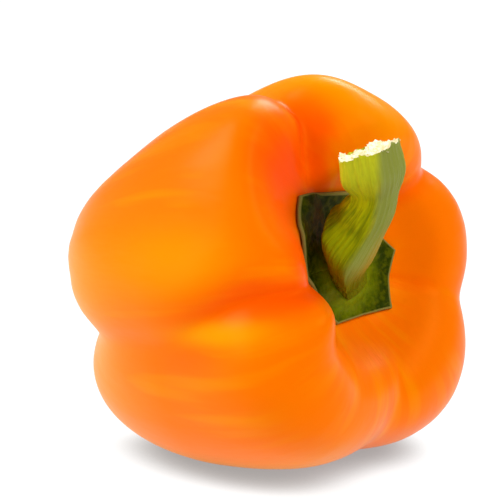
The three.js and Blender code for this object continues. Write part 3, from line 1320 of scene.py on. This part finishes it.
    def fibres(self, tree: ReliefTree, stalk: Socket) -> Socket:
        """Short torn fibres that stand on the torn faces.

        Args:
            tree: The tree that is being built.
            stalk: The stalk's mesh.

        Returns:
            The fibres, as instances whose points are marked as torn.
        """
        graph = tree.graph
        picked = graph.math("GREATER_THAN", tree.named("torn"), 0.5)
        spots = graph.add("GeometryNodeDistributePointsOnFaces", {
            "Mesh": stalk,
            "Selection": picked,
            "Density": self.fibre_density,
            "Seed": self.fibre_seed,
        })
        length = tree.entry.outputs["Fibre"]
        foot = graph.product(length, self.fibre_girth)
        inputs = {"Vertices": 5, "Radius Bottom": foot, "Depth": length}
        cone = graph.add("GeometryNodeMeshCone", inputs)
        inputs = {"Geometry": cone.outputs["Mesh"], "Name": "torn", "Value": 1.0}
        marked = graph.add("GeometryNodeStoreNamedAttribute", inputs)
        lean = self.fibre_tilt
        inputs = {0: (-lean, -lean, 0.0), 1: (lean, lean, 3.1)}
        tilt = graph.add("FunctionNodeRandomValue", inputs, data_type="FLOAT_VECTOR")
        inputs = dict(zip((2, 3), self.fibre_scales))
        grow = graph.add("FunctionNodeRandomValue", inputs, data_type="FLOAT")
        inputs = {0: spots.outputs["Rotation"], 1: tilt.outputs[0]}
        turned = graph.add("FunctionNodeRotateRotation", inputs, rotation_space="LOCAL")
        inputs = {
            "Points": spots.outputs["Points"],
            "Instance": marked.outputs[0],
            "Rotation": turned.outputs[0],
            "Scale": grow.outputs[1],
        }
        return graph.add("GeometryNodeInstanceOnPoints", inputs).outputs[0]


@dataclass(frozen=True)
class Softbox:
    """A rectangular studio light that faces the pepper."""

    name: str
    azimuth: float
    elevation: float
    distance: float
    size: tuple[float, float]
    power: float

    def build(self, aim: Vector) -> None:
        """Hang the light, turned to the point that it lights.

        Args:
            aim: The point.
        """
        towards = Vector(direction(self.azimuth, self.elevation))
        lamp = bpy.data.lights.new(self.name, "AREA")
        lamp.shape = "RECTANGLE"
        lamp.size, lamp.size_y = self.size
        lamp.energy = self.power
        light = put_in_scene(self.name, lamp)
        light.location = aim + towards * self.distance
        light.rotation_euler = towards.to_track_quat("Z", "Y").to_euler()


@dataclass(frozen=True)
class Studio:
    """White table, white surroundings and softboxes."""

    table_size: float = 6.0
    table_grey: Colour = (0.10, 0.12, 0.12)
    table_gloss: Gloss = Gloss(0.9, 0.1)
    table_glow: float = 0.95
    # Reach and strength of the painted shadow under the pepper
    shade_reach: float = 8.5 * MM
    shade_start: float = 0.75
    deepest_shade: float = 0.36
    front_glow: float = 0.04
    back_glow: float = 0.12
    backdrop: float = 1.0
    softboxes: tuple[Softbox, ...] = (
        Softbox("left_softbox", -90, 40, 1.0, (0.5, 0.5), 7.5),
        Softbox("low_softbox", -60, 12, 1.0, (0.4, 0.4), 2.5),
        Softbox("right_softbox", 48, 42, 1.0, (0.6, 0.4), 7.0),
        Softbox("back_softbox", 158, 42, 1.0, (0.6, 0.4), 8.0),
    )

    def build(self, aim: Vector) -> None:
        """Lay the table, light the surroundings and hang the softboxes.

        Args:
            aim: The point that the softboxes face.
        """
        half = self.table_size / 2
        corners = [(-half, -half, 0), (half, -half, 0), (half, half, 0), (-half, half, 0)]
        mesh = bpy.data.meshes.new("table")
        mesh.from_pydata(corners, [], [(0, 1, 2, 3)])
        mesh.materials.append(self.table_material())
        put_in_scene("table", mesh)
        self.light_surroundings()
        for softbox in self.softboxes:
            softbox.build(aim)

    def table_material(self) -> bpy.types.Material:
        """Build a glowing white with a painted shadow, darker where the pepper stands close above
        it.

        Returns:
            The material.
        """
        material, graph, shader = shader_graph("table_white", self.table_gloss)
        # Painted contact shadow: the glow dims where the pepper hangs close above the table
        openness = graph.add("ShaderNodeAmbientOcclusion", {"Distance": self.shade_reach})
        shade = graph.ramp(openness.outputs["AO"], 0.0, self.shade_start, self.deepest_shade, 1.0)
        graph.fill(shader, {
            "Base Color": (*self.table_grey, 1.0),
            "Emission Color": shade,
            "Emission Strength": self.table_glow,
        })
        return material

    def light_surroundings(self) -> None:
        """White backdrop, and a glow that is strong behind the pepper and weak in front."""
        world = bpy.data.worlds.new("studio")
        bpy.context.scene.world = world
        world.use_nodes = True
        graph = Graph(world.node_tree)
        away = graph.add("ShaderNodeTexCoord").outputs["Generated"]
        depth = graph.add("ShaderNodeSeparateXYZ", {0: away}).outputs[1]
        glow = graph.ramp(depth, -0.1, 0.6, self.front_glow, self.back_glow)
        seen = graph.add("ShaderNodeLightPath").outputs["Is Camera Ray"]
        inputs = {0: seen, 2: glow, 3: self.backdrop}
        strength = graph.add("ShaderNodeMix", inputs, data_type="FLOAT").outputs[0]
        inputs = {"Strength": strength, "Color": (1, 1, 1, 1)}
        background = graph.add("ShaderNodeBackground", inputs)
        graph.add("ShaderNodeOutputWorld", {"Surface": background.outputs[0]})


@dataclass(frozen=True)
class PhotoCamera:
    """Camera at the photo's viewing angle, framed as the photo is."""

    elevation: float = 15.0
    distance: float = 0.7
    scale: float = 4660.0
    frame_size: int = 500
    aim_height: float = 20.0
    aim_pixel: tuple[float, float] = (345.0, 262.0)
    sensor: float = 36.0

    def build(self, lie: Lie) -> Vector:
        """Place the camera.

        Args:
            lie: How the pepper lies.

        Returns:
            The point on the pepper's axis that the photo's framing is measured from.
        """
        aim = Vector(lie.place(np.array([0.0, 0.0, self.aim_height])))
        back = Vector(direction(0.0, self.elevation))
        right = Vector((1, 0, 0))
        up = back.cross(right)
        middle = self.frame_size / 2
        target = aim + right * ((middle - self.aim_pixel[0]) / self.scale)
        target += up * ((self.aim_pixel[1] - middle) / self.scale)
        lens = bpy.data.cameras.new("photo_camera")
        lens.lens = self.scale * self.distance / self.frame_size * self.sensor
        lens.sensor_width = self.sensor
        camera = put_in_scene("photo_camera", lens)
        camera.location = aim + back * self.distance
        camera.rotation_euler = (camera.location - target).to_track_quat("Z", "Y").to_euler()
        bpy.context.scene.camera = camera
        return aim


def corners(box: tuple[Vector, Vector]) -> list[list[float]]:
    """A box's two corners as plain lists."""
    return [list(corner) for corner in box]


def main() -> None:
    """Load the solids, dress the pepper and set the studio."""
    logging.basicConfig(level=logging.INFO, format="%(name)s: %(message)s")
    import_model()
    fruit = Fruit()
    calyx = Calyx(fruit)
    stem = Stem()
    lie = Lie().settled(fruit.skin(*fruit.grid()), *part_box(Node.FRUIT.value))
    builders = (
        (fruit, Node.FRUIT, Slot.FRUIT),
        (calyx, Node.CALYX, Slot.CALYX),
        (stem, Node.STEM, Slot.STEM),
    )
    for builder, node, slot in builders:
        piece = builder.build(lie)
        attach(piece, "root")
        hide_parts(node.value)
        LOG.info("%s: %d faces", piece.name, len(piece.data.polygons))
    aim = PhotoCamera().build(lie)
    Studio().build(aim)
    bpy.context.scene.view_settings.view_transform = "Standard"


if __name__ == "__main__":
    main()
